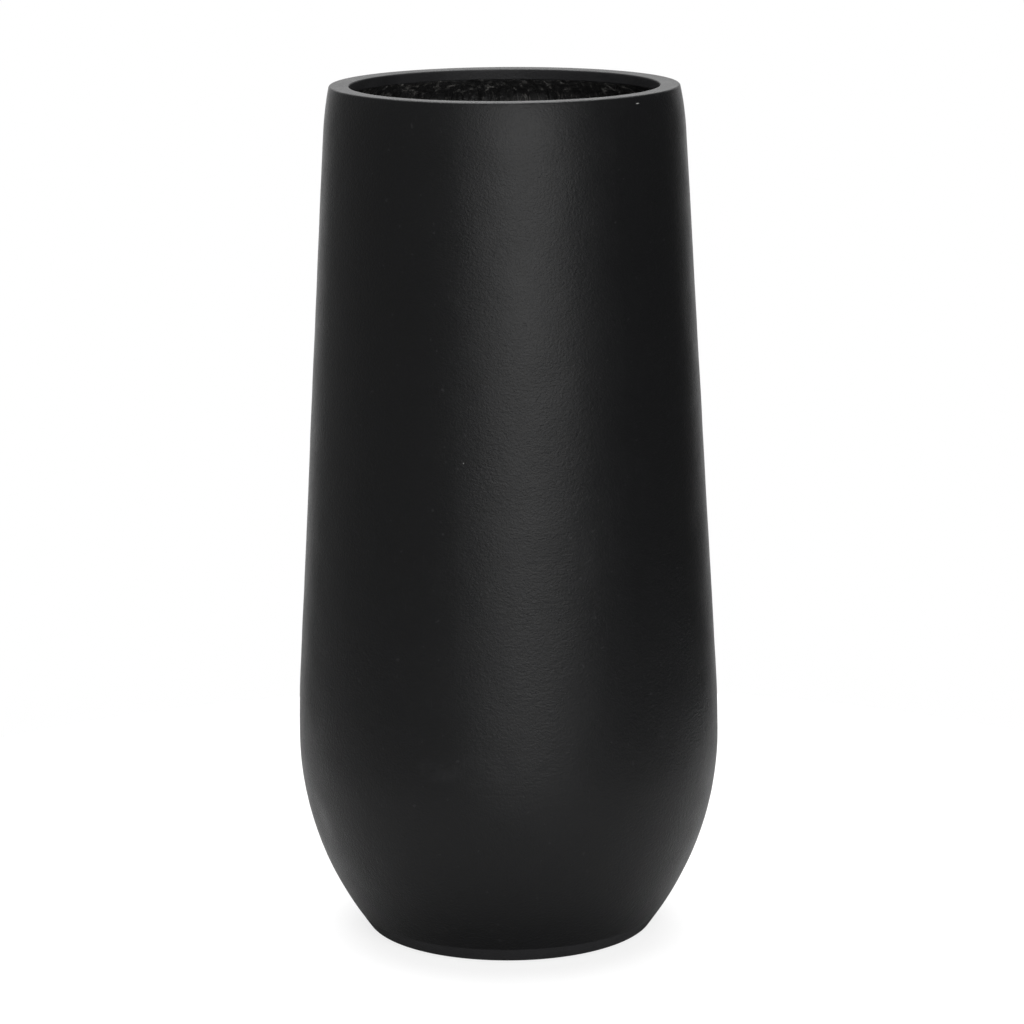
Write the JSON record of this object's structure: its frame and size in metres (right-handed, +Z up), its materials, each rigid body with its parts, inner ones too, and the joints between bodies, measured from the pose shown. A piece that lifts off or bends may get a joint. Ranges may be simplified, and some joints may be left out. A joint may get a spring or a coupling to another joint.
{
  "type": "tall planter",
  "caption": "Tall round fibreglass planter with a swelling belly, a flat turned-in rim, a small recessed foot on rubber pads and a drain plug.",
  "frame": {"origin": "centre of the planter's footprint, on the floor under the pads", "axes": "+Z up along the planter's axis, out of the mouth; +X to the right and -Y towards the viewer of the picture"},
  "size_m": [0.4959, 0.496, 1],
  "materials": {
    "face_coat": "near-black pigmented resin face coat, sanded to a soft sheen",
    "filler": "dark grey resin putty",
    "laminate": "rough black glass-fibre laminate, strands showing",
    "panel": "flat laminate sheet, black",
    "tabbing": "rough glass-fibre strips laid in black resin",
    "plug_rubber": "black moulded rubber",
    "pad_rubber": "dark grey rubber"
  },
  "bodies": {
    "planter": {"outer_skin": "face_coat", "rim_filler": "filler", "glass_laminate": "laminate", "base_panel": "panel", "base_tabbing": "tabbing", "floor_pad_1": "pad_rubber", "floor_pad_2": "pad_rubber", "floor_pad_3": "pad_rubber", "floor_pad_4": "pad_rubber"},
    "plug": {"drain_plug": "plug_rubber"}
  },
  "joints": [
    {"name": "plug_pull", "type": "slide", "parent": "planter", "child": "plug", "axis": [0, 0, -1], "range_m": [0, 0.02]}
  ]
}
